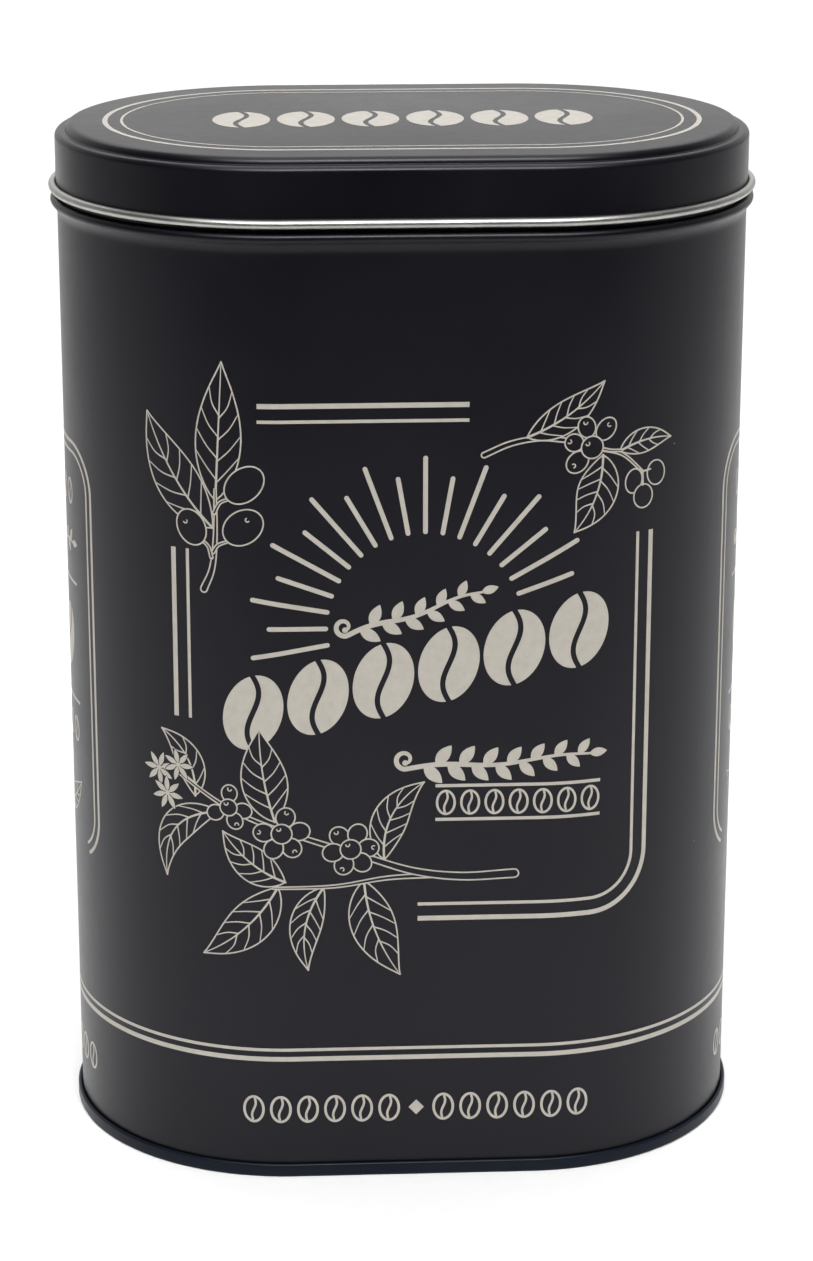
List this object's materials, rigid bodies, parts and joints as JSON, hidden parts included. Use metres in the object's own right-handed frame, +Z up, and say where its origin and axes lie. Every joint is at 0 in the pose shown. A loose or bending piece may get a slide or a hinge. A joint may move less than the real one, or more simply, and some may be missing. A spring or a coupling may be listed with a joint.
{
  "type": "coffee tin",
  "caption": "Tall obround tinplate storage tin with a lock-seamed body, a double-seamed bottom end and a lift-off slip lid with a rolled edge.",
  "frame": {"origin": "on the standing plane, under the middle of the tin", "axes": "+Z up, +X along the long way of the plan, -Y towards the printed front"},
  "size_m": [0.1332, 0.0874, 0.1976],
  "materials": {
    "body_lacquer": "satin",
    "lid_lacquer": "satin",
    "end_lacquer": "satin",
    "bare_tinplate": "satin",
    "print_ink": "satin",
    "sealing_compound": "matte"
  },
  "bodies": {
    "tin": {"body_shell": "body_lacquer", "bottom_end": "end_lacquer", "bottom_seam_compound": "sealing_compound"},
    "lid": {"lid": "lid_lacquer"}
  },
  "joints": [
    {"name": "lid_lift", "type": "slide", "parent": "tin", "child": "lid", "axis": [0, 0, 1], "range_m": [0, 0.05]}
  ]
}
